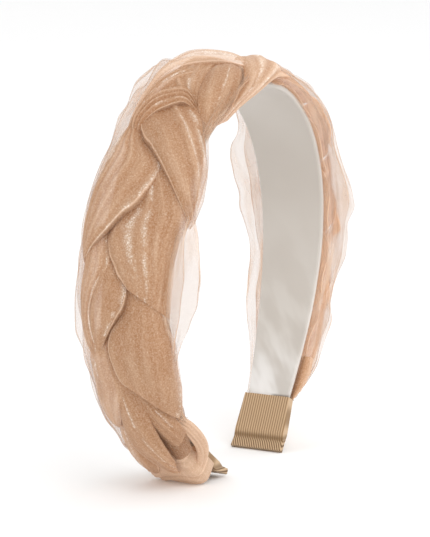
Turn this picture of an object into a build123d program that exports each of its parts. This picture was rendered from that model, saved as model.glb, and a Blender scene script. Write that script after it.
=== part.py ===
from build123d import *
import os
from collections import namedtuple
from math import atan2, cos, degrees, pi, radians, sin

# The springy band that carries everything, in millimetres and degrees
band_length = 380.0         # along the inner face, from one ribbon end to the other
band_turn = 264.0           # how far the arch turns between its two ends
band_wall = 2.4
band_width_crown = 29.4
band_width_end = 17.6       # where the band goes into each ribbon tip
band_taper = 2.4            # how late the band narrows: 1 is a straight taper
band_edge_radius = 0.9
band_sections = 25

# The woven ribbon pocket over each end of the band
ribbon_length = 21.5
ribbon_wall = 0.8
ribbon_clearance = 0.15
ribbon_width_end = 22.0
ribbon_edge_radius = 0.6
hem_length = 5.0            # the empty end of the pocket, past the band
hem_thickness = 2.4
hem_turn = 10.0             # how far the empty end is bent inward
hem_easing = 2.0            # the length in which it takes that bend
rest_press = 0.3            # how much the surface under the arch flattens its lowest points

# The braid of three gathered strands, which lies on the outside of the band
braid_lift = 0.4            # clear of the band's outer face
braid_half_width = 20.4
braid_height = 11.6
turn_spacing = 14.6         # mean distance along the band from one edge turn to the next
first_edge_from_end = 24.0           # from the left end of the band to a strand's first turn at the back edge
edge_droop = 2.6            # how far the braid's two edges bend down past the band
strand_stations = 96
strand_points = 9           # across each face of a strand
pleats = 2                  # soft gathers along each face of a strand
pleat_depth = 0.16          # as a share of the strand's own half thickness
pleat_drift = 2.0           # how far the gathers wander across while the strand swings once

# The folded tail that closes the braid at each end
tail_length = 14.0
tail_height = 8.4           # above the ribbon's outer face
tail_overhang = 4.4         # past each side edge of the ribbon
tail_clearance = 0.35
tail_from_left_end = 12.0
tail_onto_ribbon = 0.5      # how far the right tail goes past the mouth of its ribbon
tail_from_right_end = ribbon_length - tail_onto_ribbon
tail_stations = 9
tail_sides = 27
tail_boxiness = 0.62        # 1 is a half ellipse across, less is squarer
tail_folds = 4
tail_fold_depth = 0.05

# How the arch bends: a place as a share of the band, and the bend there as a share of the mean bend
Bend = namedtuple("Bend", "along share")
bends = [
    Bend(0.00, 0.34),
    Bend(0.13, 1.04),
    Bend(0.26, 1.16),
    Bend(0.39, 1.13),
    Bend(0.52, 1.48),
    Bend(0.64, 1.51),
    Bend(0.76, 1.04),
    Bend(0.88, 0.36),
    Bend(1.00, 0.00),
]

# How the braid fills out: a place as a share of the braid, then shares of its half width at the
# back and at the front, of its height and of its turn spacing
Fill = namedtuple("Fill", "along back front height spacing")
fills = [
    Fill(0.00, 0.68, 0.72, 0.80, 1.10),
    Fill(0.07, 0.86, 0.90, 0.94, 1.10),
    Fill(0.18, 0.98, 0.98, 1.00, 1.10),
    Fill(0.32, 1.00, 1.00, 1.00, 1.14),
    Fill(0.50, 0.98, 0.96, 0.98, 1.12),
    Fill(0.62, 0.94, 0.96, 1.00, 0.98),
    Fill(0.78, 0.96, 1.00, 0.96, 0.84),
    Fill(0.93, 0.84, 0.86, 0.92, 0.82),
    Fill(1.00, 0.68, 0.68, 0.78, 0.82),
]

# How each tail fills out from its ribbon end to the braid, as shares of its height and overhang
Tail = namedtuple("Tail", "along left_height left_side right_height right_side")
tails = [
    Tail(0.00, 0.90, 0.80, 0.36, 0.62),
    Tail(0.12, 1.00, 1.00, 0.56, 0.80),
    Tail(0.40, 1.00, 1.00, 0.86, 0.96),
    Tail(0.70, 0.97, 0.92, 1.00, 1.00),
    Tail(1.00, 0.92, 0.70, 0.94, 0.80),
]

# A strand's course across the braid, in shares of the braid's half width, for a braid whose
# height is course_height of that half width. Any braid is this one stretched to its own size.
course_height = 0.604
course_low = 0.275          # how far the lowest strand reaches under the braid's middle level
course_sway = 0.660         # how far the strand's middle swings to each edge
course_linger = 0.0759      # how much longer it stays out there than a plain swing would
course_rise = 0.0765        # how far it lies over or under the other two
course_rock = 23.6          # degrees that it tips where it passes its neighbours
course_lean = 3.0           # degrees that it leans down over the braid's edge
course_half_width = 0.4606
course_fuller_on_top = 0.0388
course_fuller_across = 0.0560   # wide where it crosses the middle, gathered at the edges
course_camber = 0.010
course_puff = 0.163         # how far a strand swells to each side where it has the room
course_edge = 0.018         # half its thickness at its own two edges
course_gap = 0.055          # what stays free between two strands


def along_table(rows, along, column):
    """A table's value at a share of the length, going evenly from one row to the next."""
    along = min(max(along, rows[0].along), rows[-1].along)
    for before, after in zip(rows, rows[1:]):
        if along <= after.along:
            share = (along - before.along) / (after.along - before.along)
            start = getattr(before, column)
            return start + (getattr(after, column) - start) * share


def table_mean(rows, column, steps=400):
    """The mean of a table's column over the whole length."""
    return sum(along_table(rows, (i + 0.5) / steps, column) for i in range(steps)) / steps


def power(value, exponent):
    """The value's size raised to the exponent, with its sign kept."""
    return abs(value) ** exponent * (1 if value >= 0 else -1)


# What fits follows from the sizes above
ribbon_outer = band_wall + ribbon_clearance + ribbon_wall
ribbon_inner = -ribbon_clearance - ribbon_wall
braid_start = tail_from_left_end + tail_length + tail_clearance
braid_end = band_length - tail_from_right_end - tail_length - tail_clearance
mean_bend = table_mean(bends, "share")
mean_spacing = table_mean(fills, "spacing")


def trace_arch(tilt):
    """The inner face's middle line in steps of about 1 mm, as (x, z, heading in radians)."""
    steps = round(band_length)
    step = band_length / steps
    turned = radians(band_turn / 2 + tilt)
    x = z = 0.0
    trace = []
    for i in range(steps + 1):
        s = i * step
        heading = turned + radians(hem_turn) * (hem_bend(s) - hem_bend(band_length - s))
        trace.append((x, z, heading))
        x += step * cos(heading)
        z += step * sin(heading)
        share = along_table(bends, (i + 0.5) / steps, "share")
        turned -= radians(band_turn) / steps * share / mean_bend
    return trace


def hem_bend(s):
    """1 in a pocket's empty end, 0 past it, s being the distance from that end."""
    return min(max((hem_length + hem_easing / 2 - s) / hem_easing, 0), 1)


def place_on(trace, s, h):
    """The (x, z, heading) of a place s along the band and h outward from its inner face."""
    steps = len(trace) - 1
    reach = s / band_length * steps
    i = min(max(int(reach), 0), steps - 1)
    x, z, heading = [a + (b - a) * (reach - i) for a, b in zip(trace[i], trace[i + 1])]
    return x - sin(heading) * h, z + cos(heading) * h, heading


def lowest(trace, side):
    """The lowest corner at one end of the arch: its ribbon end or its folded tail."""
    left_places = [(0, hem_thickness), (tail_from_left_end, ribbon_outer + tail_height)]
    right_places = [(band_length, hem_thickness)]
    places = left_places if side == "left" else right_places
    return min(place_on(trace, s, h)[1] for s, h in places)


def level_arch():
    """The arch turned in its own plane until both ends stand level, and its floor level."""
    tilt = 0.0
    for _ in range(20):
        trace = trace_arch(tilt)
        span = trace[-1][0] - trace[0][0]
        tilt += degrees(atan2(lowest(trace, "left") - lowest(trace, "right"), span))
    floor_level = lowest(trace, "left") + rest_press
    return [(x, z - floor_level, heading) for x, z, heading in trace]


arch = level_arch()


def point(s, y, h):
    """A point s along the band, y across it and h outward, pressed flat where it would sink."""
    x, z, _ = place_on(arch, s, h)
    return Vector(x, y, max(z, 0))


def flat_section(s, width, low, high, radius):
    """A flat rounded section across the band, from low to high above its inner face."""
    x, z, heading = place_on(arch, s, (low + high) / 2)
    plane = Plane(origin=(x, 0, z), x_dir=(0, 1, 0), z_dir=(cos(heading), 0, sin(heading)))
    corner = min(radius, 0.45 * (high - low))
    return plane * RectangleRounded(width, high - low, corner)


def band_width(s):
    """The band's width, flat near the crown and narrowing towards each ribbon tip."""
    half = band_length / 2
    from_crown = min(abs(s - half) / (half - ribbon_length), 1)
    return band_width_crown - (band_width_crown - band_width_end) * from_crown**band_taper


def ribbon_width(from_tip):
    """The ribbon's width, a little more at its end than where the band comes out of it."""
    mouth = band_width_end + 2 * (ribbon_wall + ribbon_clearance)
    share = min(max(from_tip / ribbon_length, 0), 1)
    return ribbon_width_end + (mouth - ribbon_width_end) * share


def satin_band():
    """The satin covered band, which ends inside the two ribbon pockets."""
    inset = hem_length + hem_easing
    run = band_length - 2 * inset
    stations = [inset + run * i / (band_sections - 1) for i in range(band_sections)]
    return loft([flat_section(s, band_width(s), 0, band_wall, band_edge_radius) for s in stations])


def ribbon_tip(side):
    """A ribbon pocket: open where the band goes in, pressed shut past the band's end."""

    def section(from_tip, width, low, high, radius):
        s = from_tip if side == "left" else band_length - from_tip
        return flat_section(s, width, low, high, radius)

    pocket_end = hem_length + hem_easing
    pocket_start = pocket_end - ribbon_clearance
    closed = [0, hem_length / 2, hem_length - hem_easing / 2]
    opened = [pocket_end, (pocket_end + ribbon_length) / 2, ribbon_length]
    outside = [section(d, ribbon_width(d), 0, hem_thickness, ribbon_edge_radius) for d in closed]
    for d in opened:
        outside.append(section(d, ribbon_width(d), ribbon_inner, ribbon_outer, ribbon_edge_radius))
    inside = []
    for d in [pocket_start, (pocket_start + ribbon_length) / 2, ribbon_length + ribbon_clearance]:
        width = band_width_end + 2 * ribbon_clearance
        high = band_wall + ribbon_clearance
        inside.append(section(d, width, -ribbon_clearance, high, band_edge_radius))
    above_floor = Box(band_length, band_length, band_length, align=(Align.CENTER, Align.CENTER, Align.MIN))
    x, _, _ = place_on(arch, 0 if side == "left" else band_length, 0)
    return (loft(outside, ruled=True) - loft(inside, ruled=True)) & Pos(x, 0, 0) * above_floor


def skin(rings):
    """A closed faceted solid through rings of points, with a flat face on each end."""
    faces = [Face(Wire.make_polygon(ring, close=True)) for ring in (rings[0], rings[-1])]
    for here, there in zip(rings, rings[1:]):
        for i in range(len(here)):
            j = (i + 1) % len(here)
            for corners in ((here[i], here[j], there[j]), (here[i], there[j], there[i])):
                faces.append(Face(Wire.make_polygon(corners, close=True)))
    return Solid(Shell(faces))


def turns_until(along):
    """How many edge turns the strands make from the braid's start to a share of its length."""
    steps = 200
    length = (braid_end - braid_start) * along
    spacing = turn_spacing / mean_spacing
    passed = 0.0
    for i in range(steps):
        share = (i + 0.5) / steps * along
        passed += length / steps / (spacing * along_table(fills, share, "spacing"))
    return passed


def strand_line(phase):
    """The middle of a strand's thickness where the band is crossed, from its one edge to the other."""
    middle = course_sway * sin(phase) + course_linger * sin(3 * phase)
    level = course_rise * sin(2 * phase)
    tip = radians(course_lean) * sin(phase) - radians(course_rock) * cos(3 * phase)
    half = course_half_width + course_fuller_on_top * sin(2 * phase) + course_fuller_across * cos(2 * phase)
    line = []
    for i in range(strand_points):
        share = 2 * i / (strand_points - 1) - 1
        crown = course_camber * (1 - share**2)
        line.append(Vector(middle + half * share * cos(tip), level - half * share * sin(tip) + crown))
    return line


def way_to(place, line):
    """The shortest way from a place to a line through several points."""
    ways = []
    for start, end in zip(line, line[1:]):
        along = end - start
        share = min(max((place - start).dot(along) / along.dot(along), 0), 1)
        ways.append(start + along * share - place)
    return min(ways, key=lambda way: way.length)


def strand_section(phase, along, s):
    """A ring of points round one strand, which swells until it meets the other two."""
    line = strand_line(phase)
    others = [strand_line(phase + 2 * pi / 3), strand_line(phase - 2 * pi / 3)]
    top, bottom = [], []
    for i, place in enumerate(line):
        run = line[min(i + 1, strand_points - 1)] - line[max(i - 1, 0)]
        up = Vector(-run.Y, run.X) / run.length
        share = 2 * i / (strand_points - 1) - 1
        gather = 0.5 - 0.5 * cos(2 * pi * pleats * (share + 1) / 2 + pleat_drift * phase)
        puff = course_edge + (course_puff - course_edge) * (1 - share**2) ** 0.5
        over = under = puff * (1 - pleat_depth * gather)
        for other in others:
            way = way_to(place, other)
            room = way.length / 2 - course_gap / 2
            if way.dot(up) > 0:
                over = min(over, room)
            else:
                under = min(under, room)
        top.append(place + up * over)
        bottom.append(place - up * under)
    return [braid_point(place, along, s) for place in top + bottom[::-1]]


def braid_point(place, along, s):
    """A place in the braid's own section, put where the braid is as wide and high as it is at s."""
    side = "back" if place.X > 0 else "front"
    y = place.X * braid_half_width * along_table(fills, along, side)
    out = (place.Y + course_low) * braid_height / course_height * along_table(fills, along, "height")
    return point(s, y, band_wall + braid_lift + out - edge_droop * place.X**4)


def strand(number):
    """One of the three gathered strands, a third of a swing behind the one before it."""
    rings = []
    for i in range(strand_stations):
        along = i / (strand_stations - 1)
        s = braid_start + (braid_end - braid_start) * along
        turns = turns_until(along) - (first_edge_from_end - braid_start) / turn_spacing
        phase = pi / 2 - pi / 3 * turns - 2 * pi / 3 * number
        rings.append(strand_section(phase, along, s))
    return skin(rings)


def braid_tail(side):
    """A folded tail, which caps the braid's end and goes down over the ribbon's side edges."""
    rings = []
    for i in range(tail_stations):
        along = i / (tail_stations - 1)
        if side == "left":
            from_tip = tail_from_left_end + tail_length * along
            s = from_tip
        else:
            from_tip = tail_from_right_end + tail_length * along
            s = band_length - from_tip
        ribbon_side = max(ribbon_width(from_tip), band_width(s)) / 2 + tail_clearance
        reach = ribbon_side + tail_overhang * along_table(tails, along, side + "_side")
        top = ribbon_outer + tail_height * along_table(tails, along, side + "_height")
        rings.append(tail_section(s, reach, top, ribbon_side, along))
    return skin(rings)


def tail_section(s, reach, top, ribbon_side, along):
    """A ring round the tail: over the top, then back round the ribbon that it sits on."""
    ring = []
    for i in range(tail_sides):
        angle = pi * i / (tail_sides - 1)
        fold = 1 - tail_fold_depth * (0.5 + 0.5 * cos(2 * tail_folds * angle + 2 * along))
        y = reach * power(cos(angle), tail_boxiness)
        h = ribbon_inner + (top - ribbon_inner) * power(sin(angle), tail_boxiness) * fold
        ring.append(point(s, y, h))
    seat = ribbon_outer + tail_clearance
    for y, h in [(-1, ribbon_inner), (-1, seat), (1, seat), (1, ribbon_inner)]:
        ring.append(point(s, y * ribbon_side, h))
    return ring


pieces = {
    "satin_band": satin_band(),
    "ribbon_tip_left": ribbon_tip("left"),
    "ribbon_tip_right": ribbon_tip("right"),
    "braid_strand_1": strand(0),
    "braid_strand_2": strand(1),
    "braid_strand_3": strand(2),
    "braid_tail_left": braid_tail("left"),
    "braid_tail_right": braid_tail("right"),
}

# The origin is under the middle of the whole headband, on the surface that it stands on
boxes = [piece.bounding_box() for piece in pieces.values()]
middle_x = (min(box.min.X for box in boxes) + max(box.max.X for box in boxes)) / 2
middle_y = (min(box.min.Y for box in boxes) + max(box.max.Y for box in boxes)) / 2
lowest_z = min(box.min.Z for box in boxes)
to_origin = Pos(-middle_x, -middle_y, -lowest_z)
os.makedirs("parts", exist_ok=True)
for name, piece in pieces.items():
    export_step(to_origin * piece, f"parts/{name}.step")
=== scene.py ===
import math

import bpy
import numpy as np
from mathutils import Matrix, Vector


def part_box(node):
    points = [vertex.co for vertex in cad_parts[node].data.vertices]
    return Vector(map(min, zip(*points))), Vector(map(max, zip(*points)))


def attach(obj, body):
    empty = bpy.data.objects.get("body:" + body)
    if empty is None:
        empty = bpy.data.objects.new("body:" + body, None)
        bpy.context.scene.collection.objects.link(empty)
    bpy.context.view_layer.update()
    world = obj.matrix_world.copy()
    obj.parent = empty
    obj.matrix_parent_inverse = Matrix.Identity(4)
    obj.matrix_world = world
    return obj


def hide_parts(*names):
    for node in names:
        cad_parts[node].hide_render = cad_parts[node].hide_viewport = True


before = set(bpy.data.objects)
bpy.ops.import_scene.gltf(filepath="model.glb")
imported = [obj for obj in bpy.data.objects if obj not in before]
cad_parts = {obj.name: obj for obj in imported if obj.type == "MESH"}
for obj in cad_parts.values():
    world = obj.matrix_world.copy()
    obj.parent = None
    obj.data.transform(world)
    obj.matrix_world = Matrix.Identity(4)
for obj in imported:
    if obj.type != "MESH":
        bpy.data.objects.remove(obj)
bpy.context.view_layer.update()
print("frame loaded")

mm = 0.001


# Shader maths: a Socket is one value in a material, so plain Python expressions make its nodes
class Socket:
    def __init__(self, finish, port):
        self.finish = finish
        self.port = port

    def maths(self, operation, first, second=0.0):
        return self.finish.node("ShaderNodeMath", {"operation": operation}, {0: first, 1: second})

    def __add__(self, other):
        return self.maths("ADD", self, other)

    def __radd__(self, other):
        return self.maths("ADD", other, self)

    def __sub__(self, other):
        return self.maths("SUBTRACT", self, other)

    def __rsub__(self, other):
        return self.maths("SUBTRACT", other, self)

    def __mul__(self, other):
        return self.maths("MULTIPLY", self, other)

    def __rmul__(self, other):
        return self.maths("MULTIPLY", other, self)

    def __truediv__(self, other):
        return self.maths("DIVIDE", self, other)

    def __rtruediv__(self, other):
        return self.maths("DIVIDE", other, self)

    def __gt__(self, other):
        return self.maths("GREATER_THAN", self, other)

    def sine(self):
        return self.maths("SINE", self)

    def size(self):
        return self.maths("ABSOLUTE", self)

    def ramp(self, low, high):
        settings = {"interpolation_type": "SMOOTHSTEP", "clamp": True}
        sockets = {"Value": self, "From Min": low, "From Max": high}
        return self.finish.node("ShaderNodeMapRange", settings, sockets)


# A Finish is one material being made
class Finish:
    def __init__(self, name, **fixed):
        self.material = bpy.data.materials.new(name)
        self.material.use_nodes = True
        self.tree = self.material.node_tree
        self.shader = self.tree.nodes["Principled BSDF"]
        for socket, value in fixed.items():
            self.shader.inputs[socket.replace("_", " ")].default_value = value

    def node(self, kind, settings=None, sockets=None, output=0):
        made = self.tree.nodes.new(kind)
        for name, value in (settings or {}).items():
            setattr(made, name, value)
        for name, value in (sockets or {}).items():
            self.feed(made.inputs[name], value)
        return Socket(self, made.outputs[output])

    def feed(self, port, value):
        if isinstance(value, Socket):
            self.tree.links.new(value.port, port)
        else:
            port.default_value = value

    def give(self, **sockets):
        for name, value in sockets.items():
            self.feed(self.shader.inputs[name.replace("_", " ")], value)

    def mix(self, share, first, second):
        return self.node("ShaderNodeMix", {"data_type": "RGBA"}, {0: share, 6: first, 7: second}, 2)

    def laid(self, name):
        return self.node("ShaderNodeAttribute", {"attribute_name": name}, output="Fac")

    def place(self):
        return self.node("ShaderNodeTexCoord", output="Object")

    def parts(self, vector):
        return [self.node("ShaderNodeSeparateXYZ", None, {0: vector}, axis) for axis in "XYZ"]

    def clothPlace(self, across, along):
        sockets = {0: self.node("ShaderNodeUVMap", {"uv_map": "cloth"}), 1: (across, along, 1.0)}
        return self.node("ShaderNodeVectorMath", {"operation": "MULTIPLY"}, sockets)

    def noise(self, scale, detail=2.0, roughness=0.5, where=None):
        sockets = {"Vector": where or self.place(), "Scale": scale, "Detail": detail, "Roughness": roughness}
        return self.node("ShaderNodeTexNoise", {"noise_dimensions": "3D"}, sockets)

    def bump(self, height, strength, distance):
        sockets = {"Height": height, "Strength": strength, "Distance": distance}
        return self.node("ShaderNodeBump", None, sockets)


def paint(red, green, blue):
    # a colour as a paint chart gives it, 0 to 255, turned to what the shader needs
    def linear(value):
        share = value / 255
        return share / 12.92 if share <= 0.04045 else ((share + 0.055) / 1.055) ** 2.4

    return (linear(red), linear(green), linear(blue), 1.0)


# The arch that every piece follows, in millimetres and degrees
arch = dict(
    length=380.0,
    turn=264.0,
    wall=2.4,
    crownWidth=29.4,
    endWidth=17.6,
    taper=2.4,
    bendAt=[0.00, 0.13, 0.26, 0.39, 0.52, 0.64, 0.76, 0.88, 1.00],
    bendShare=[0.34, 1.04, 1.16, 1.13, 1.48, 1.51, 1.04, 0.36, 0.00],
    levelRounds=20,        # how often the arch is turned until it stands level
)

ribbon = dict(
    length=21.5,
    wall=0.8,
    clearance=0.15,
    endWidth=22.0,
    hemLength=5.0,
    hemThickness=2.4,
    hemTurn=10.0,
    hemEasing=2.0,
    press=0.3,
    ribs=22,
)

# The braid, and how it fills out along its length as shares of its own sizes
braid = dict(
    lift=0.4,
    halfWidth=20.4,
    height=11.6,
    spacing=14.6,
    firstTurn=24.0,
    droop=2.6,
    droopReach=1.2,
    fillAt=[0.00, 0.07, 0.18, 0.32, 0.50, 0.62, 0.78, 0.93, 1.00],
    back=[0.54, 0.64, 0.68, 0.70, 0.64, 0.66, 0.58, 0.54, 0.50],
    front=[0.48, 0.62, 0.70, 0.84, 0.84, 0.80, 0.76, 0.66, 0.54],
    tall=[0.80, 0.94, 1.00, 1.00, 0.98, 1.00, 0.96, 0.92, 0.78],
    spaced=[1.10, 1.10, 1.10, 1.14, 1.12, 0.98, 0.84, 0.82, 0.82],
    packed=0.80,           # the strands' own height under their broad folds
    flatAt=[188, 200, 208, 222, 240, 256, 272, 290, 345],
    flat=[1.00, 0.86, 0.50, 0.38, 0.40, 0.50, 0.70, 0.85, 0.92],
)

tail = dict(length=14.0, height=8.4, fromLeftEnd=12.0, fromRightEnd=21.0, clearance=0.35)

ribbonOuter = arch["wall"] + ribbon["clearance"] + ribbon["wall"]
ribbonInner = -ribbon["clearance"] - ribbon["wall"]
braidStart = tail["fromLeftEnd"] + tail["length"] + tail["clearance"]
braidEnd = arch["length"] - tail["fromRightEnd"] - tail["length"] - tail["clearance"]
meanSteps = 400          # how finely the mean of a table is taken


def partWay(value, start, end):
    # 0 up to the start and 1 from the end on
    return np.clip((value - start) / (end - start), 0, 1)


def bell(value, width):
    return np.exp(-((value / width) ** 2))


def unit(ways):
    return ways / np.linalg.norm(ways, axis=-1, keepdims=True)


def fill(field, s):
    # how the braid fills out at s
    return np.interp((s - braidStart) / (braidEnd - braidStart), braid["fillAt"], braid[field])


def flatness(s):
    return np.interp(s, braid["flatAt"], braid["flat"])


def hemBend(s):
    pocket = ribbon["hemLength"] + ribbon["hemEasing"] / 2
    return min(max((pocket - s) / ribbon["hemEasing"], 0), 1)


def traceArch(tilt):
    # the inner face's middle line in steps of about 1 mm, as rows of x, z and heading
    steps = round(arch["length"])
    step = arch["length"] / steps
    middles = (np.arange(steps) + 0.5) / steps
    bends = np.interp(middles, arch["bendAt"], arch["bendShare"])
    middlesOfMean = (np.arange(meanSteps) + 0.5) / meanSteps
    meanBend = np.interp(middlesOfMean, arch["bendAt"], arch["bendShare"]).mean()
    turned = math.radians(arch["turn"] / 2 + tilt)
    x = z = 0.0
    rows = []
    for i in range(steps + 1):
        s = i * step
        hems = hemBend(s) - hemBend(arch["length"] - s)
        heading = turned + math.radians(ribbon["hemTurn"]) * hems
        rows.append((x, z, heading))
        x += step * math.cos(heading)
        z += step * math.sin(heading)
        if i < steps:
            turned -= math.radians(arch["turn"]) / steps * bends[i] / meanBend
    return np.array(rows)


def onTrace(rows, s, h):
    reach = np.asarray(s, float) / arch["length"] * (len(rows) - 1)
    cells = np.clip(reach.astype(int), 0, len(rows) - 2)
    share = (reach - cells)[..., None]
    x, z, heading = np.moveaxis(rows[cells] + (rows[cells + 1] - rows[cells]) * share, -1, 0)
    return x - np.sin(heading) * h, z + np.cos(heading) * h, heading


def levelArch():
    # the arch turned until its left tail and its right tip stand level
    tilt = 0.0
    tailTop = ribbonOuter + tail["height"]
    for _ in range(arch["levelRounds"]):
        rows = traceArch(tilt)
        leftTip = onTrace(rows, 0.0, ribbon["hemThickness"])[1]
        left = min(leftTip, onTrace(rows, tail["fromLeftEnd"], tailTop)[1])
        right = onTrace(rows, arch["length"], ribbon["hemThickness"])[1]
        tilt += math.degrees(math.atan2(left - right, rows[-1][0] - rows[0][0]))
    rows[:, 1] -= left + ribbon["press"]
    return rows


archRows = levelArch()
bandLow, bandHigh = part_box("satin_band")
bandEnd = ribbon["hemLength"] + ribbon["hemEasing"]      # where the band stops inside its pocket
bandSpan = np.linspace(bandEnd, arch["length"] - bandEnd, 2 * meanSteps)
bandSpan = onTrace(archRows, bandSpan, arch["wall"])[0]
middleOfBand = (bandSpan.min() + bandSpan.max()) / 2 * mm
shift = Vector(((bandLow.x + bandHigh.x) / 2 - middleOfBand, (bandLow.y + bandHigh.y) / 2, 0))


def onArch(s, y, h):
    # a place s along the band, y across it and h outward, in the frame's own metres
    x, z, _ = onTrace(archRows, s, h)
    x, y, z = np.broadcast_arrays(x, y, np.maximum(z, 0))
    return np.stack([x * mm + shift.x, y * mm + shift.y, z * mm], axis=-1)


def bandWidth(s):
    half = arch["length"] / 2
    fromCrown = np.minimum(np.abs(s - half) / (half - ribbon["length"]), 1)
    return arch["crownWidth"] - (arch["crownWidth"] - arch["endWidth"]) * fromCrown ** arch["taper"]


def ribbonWidth(fromTip):
    mouth = arch["endWidth"] + 2 * (ribbon["wall"] + ribbon["clearance"])
    share = np.clip(fromTip / ribbon["length"], 0, 1)
    return ribbon["endWidth"] + (mouth - ribbon["endWidth"]) * share


def gridPiece(name, places, cloth, laid, material, closed=False, capped=False):
    # a mesh from a grid of places: rows run along the piece, columns across or round it
    rows, columns = places.shape[:2]
    index = np.arange(rows * columns).reshape(rows, columns)
    if closed:
        index = np.concatenate([index, index[:, :1]], axis=1)
    corners = [index[:-1, :-1], index[:-1, 1:], index[1:, 1:], index[1:, :-1]]
    faces = np.stack([corner.ravel() for corner in corners], axis=1).tolist()
    if capped:
        faces += [index[0, :columns][::-1].tolist(), index[-1, :columns].tolist()]
    mesh = bpy.data.meshes.new(name)
    mesh.from_pydata(places.reshape(-1, 3).tolist(), [], faces)
    # where each corner lies on the flat cloth, in mm, for the streaks of its finish
    across, along = [np.broadcast_to(part, (rows, columns)) for part in cloth]
    across = np.concatenate([across, across[:, -1:] * 2 - across[:, -2:-1]], axis=1)
    along = np.concatenate([along, along[:, -1:]], axis=1)
    width = index.shape[1] - 1
    spots = []
    for down, side in ((0, 0), (0, 1), (1, 1), (1, 0)):
        cell = slice(down, down + rows - 1), slice(side, side + width)
        spots.append(np.stack([across[cell].ravel(), along[cell].ravel()], axis=1))
    uv = np.concatenate([np.stack(spots, axis=1).ravel(), np.zeros(4 * columns * capped)])
    mesh.uv_layers.new(name="cloth").data.foreach_set("uv", uv.astype(np.float32))
    for field, values in laid.items():
        values = np.broadcast_to(values, (rows, columns)).ravel().astype(np.float32)
        mesh.attributes.new(field, "FLOAT", "POINT").data.foreach_set("value", values)
    mesh.polygons.foreach_set("use_smooth", [True] * len(mesh.polygons))
    mesh.update()
    piece = bpy.data.objects.new(name, mesh)
    bpy.context.scene.collection.objects.link(piece)
    mesh.materials.append(material)
    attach(piece, "root")
    return piece


waveLook = dict(bend=0.6, slowest=0.6, bendRate=2.2, wander=0.35, level=0.75)


def waves(seed, across, along, acrossSizes, alongSize, count):
    # soft uneven ridges that run along the cloth, between -1 and 1
    look = waveLook
    draw = np.random.default_rng(seed)
    low, high = acrossSizes
    total = 0.0
    for _ in range(count):
        size = low * (high / low) ** draw.random()
        wander = draw.normal(0, 1) / alongSize
        slow = draw.random() * 2 * np.pi
        bend = np.sin(along / alongSize * (look["slowest"] + draw.random()) * look["bendRate"] + slow)
        ridge = 2 * np.pi * (across / size + along * wander * look["wander"])
        total = total + np.sin(ridge + look["bend"] * bend + draw.random() * 2 * np.pi)
    return total / count**0.5 * look["level"]


def ridgeShadingOf(ridges):
    # painted highlight on the ridges' crests and painted shade in their valleys, from 0 to 1
    return np.clip(0.5 + 0.5 * ridges, 0, 1)


# One strand's course across the braid, in shares of the braid's half width
course = dict(
    height=0.604,
    low=0.275,
    sway=0.660,
    linger=0.0759,
    rise=0.0765,
    rock=23.6,
    lean=3.0,
    halfWidth=0.4606,
    fullerOnTop=0.0388,
    fullerAcross=0.0560,
    camber=0.010,
    puff=0.163,
    edge=0.018,
    gap=0.012,
    roundness=0.75,
    points=33,             # across one strand, and every fourth of them for its neighbours
    steps=2000,
)

strandLook = dict(
    stations=320,
    across=48,             # points over each face, before the creases get theirs
    creases=2,             # crisp fold edges on each face
    creaseStep=0.9,        # mm that one layer stands over the next
    creasePoints=9,
    creaseWidth=0.05,
    width=10.0,            # mm of cloth across half a face
    soft=((3.0, 7.5), 55.0, 6),      # waves: sizes across, size along, how many
    fine=((0.9, 2.2), 30.0, 9),
    bunched=((9.0, 16.0), 22.0, 4),
    gatherDepth=0.42,      # mm, the soft gathers
    crinkleDepth=0.07,     # mm
    settled=0.6,           # share of a crease's step that the whole face lies lower
    thinnest=0.6,          # share of the edge's thickness
    evenShare=dict(bunched=0.2, gather=0.4, crinkle=0.3, ridgeShading=0.35),
    paleFrom=(196, 214),   # s over which the far arm's thinner cloth turns sheer, with lighter painted shading and painted glow for the light through it
    farSheer=0.6,
    backLight=0.35,
    hemWidth=0.03,
    edgeWidth=0.3,         # share of the half width in which the cloth turns sheer
    pressed=(0.6, 0.95),   # level of the painted shading on the near and far arm; the far arm's is lighter, for light through its thinner cloth
)

# The crisp creases, in shares of a face's half width and mm along it
creaseLook = dict(
    span=0.62,
    wander=0.16,
    wanderLength=(13, 8),  # the shortest, and how much longer it may be
    beatLength=(8, 6),
    strength=(0.35, 0.95),
    phase=6,
    sharp=0.012,
    fade=0.42,
    hem=0.022,
    pull=0.38,
)


def strandLine(phase, share):
    middle = course["sway"] * np.sin(phase) + course["linger"] * np.sin(3 * phase)
    level = course["rise"] * np.sin(2 * phase)
    tip = math.radians(course["lean"]) * np.sin(phase) - math.radians(course["rock"]) * np.cos(3 * phase)
    half = course["halfWidth"] + course["fullerOnTop"] * np.sin(2 * phase)
    half = half + course["fullerAcross"] * np.cos(2 * phase)
    middle, level, tip, half = [value[:, None] for value in (middle, level, tip, half)]
    crown = course["camber"] * (1 - share**2)
    across = middle + half * share * np.cos(tip)
    return np.stack([across, level - half * share * np.sin(tip) + crown], axis=-1)


def wayTo(places, line):
    # the shortest way from each place to a line of several points, station by station
    start, run = line[:, None, :-1], (line[:, 1:] - line[:, :-1])[:, None]
    gone = ((places[:, :, None] - start) * run).sum(-1) / (run * run).sum(-1)
    ways = start + run * np.clip(gone, 0, 1)[..., None] - places[:, :, None]
    nearest = np.linalg.norm(ways, axis=-1).argmin(axis=2)
    return np.take_along_axis(ways, nearest[:, :, None, None], axis=2)[:, :, 0]


def braidPhase(s, number):
    # how far along its swing a strand is at s
    steps = np.linspace(braidStart, braidEnd, course["steps"])
    meanSpaced = np.interp(np.linspace(0, 1, meanSteps), braid["fillAt"], braid["spaced"]).mean()
    rate = meanSpaced / (braid["spacing"] * fill("spaced", steps))
    turns = np.concatenate([[0], np.cumsum((rate[1:] + rate[:-1]) / 2 * np.diff(steps))])
    first = (braid["firstTurn"] - braidStart) / braid["spacing"]
    return np.pi / 2 - np.pi / 3 * (np.interp(s, steps, turns) - first) - 2 * np.pi / 3 * number


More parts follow.
